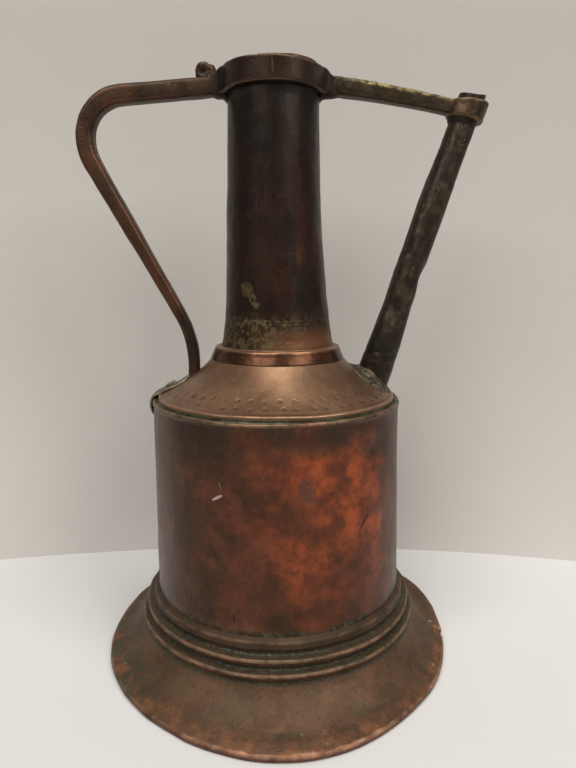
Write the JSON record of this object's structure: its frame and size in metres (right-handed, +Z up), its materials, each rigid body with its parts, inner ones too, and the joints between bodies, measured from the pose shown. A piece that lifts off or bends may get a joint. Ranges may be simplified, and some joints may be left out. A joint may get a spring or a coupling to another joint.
{
  "type": "bee smoker",
  "caption": "Hammered copper smoker can: flared foot, straight fuel chamber, cone shoulder, tall open neck, side handle, and a long slanting blow tube stayed to the mouth.",
  "frame": {"origin": "centre of the foot, on the ground", "axes": "+Z up along the neck, +X towards the blow tube, -X towards the handle, -Y is the front"},
  "size_m": [0.2848, 0.262, 0.4261],
  "materials": {
    "body_copper": "mottled brown and red copper patina, satin",
    "foot_copper": "olive-brown copper patina with verdigris in the creases",
    "shoulder_copper": "worn tan copper, satin",
    "polished_copper": "rubbed bright copper",
    "neck_copper": "near-black oxidised copper, planished",
    "inner_copper": "sooty copper",
    "strap_bronze": "brown bronze, hand-worn",
    "stay_brass": "olive brass, rough filed edge",
    "leaf_tin": "dull tinned copper",
    "tube_dark": "grey-brown oxidised tube with brass specks",
    "solder": "lumpy grey solder with verdigris",
    "dark_solder": "dark oxidised solder"
  },
  "bodies": {
    "root": {"base_flare": "foot_copper", "body_shell": "body_copper", "floor_plate": "inner_copper", "floor_solder": "solder", "shoulder": "shoulder_copper", "neck_ring": "polished_copper", "neck_tube": "neck_copper", "collar_band": "strap_bronze", "collar_solder": "dark_solder", "handle_strap": "strap_bronze", "lid_lug": "strap_bronze", "handle_leaf": "leaf_tin", "leaf_rivets": "leaf_tin", "stay_arm": "stay_brass", "stay_eye": "stay_brass", "eye_solder": "dark_solder", "spout_tube": "tube_dark", "spout_solder": "solder"}
  },
  "joints": []
}
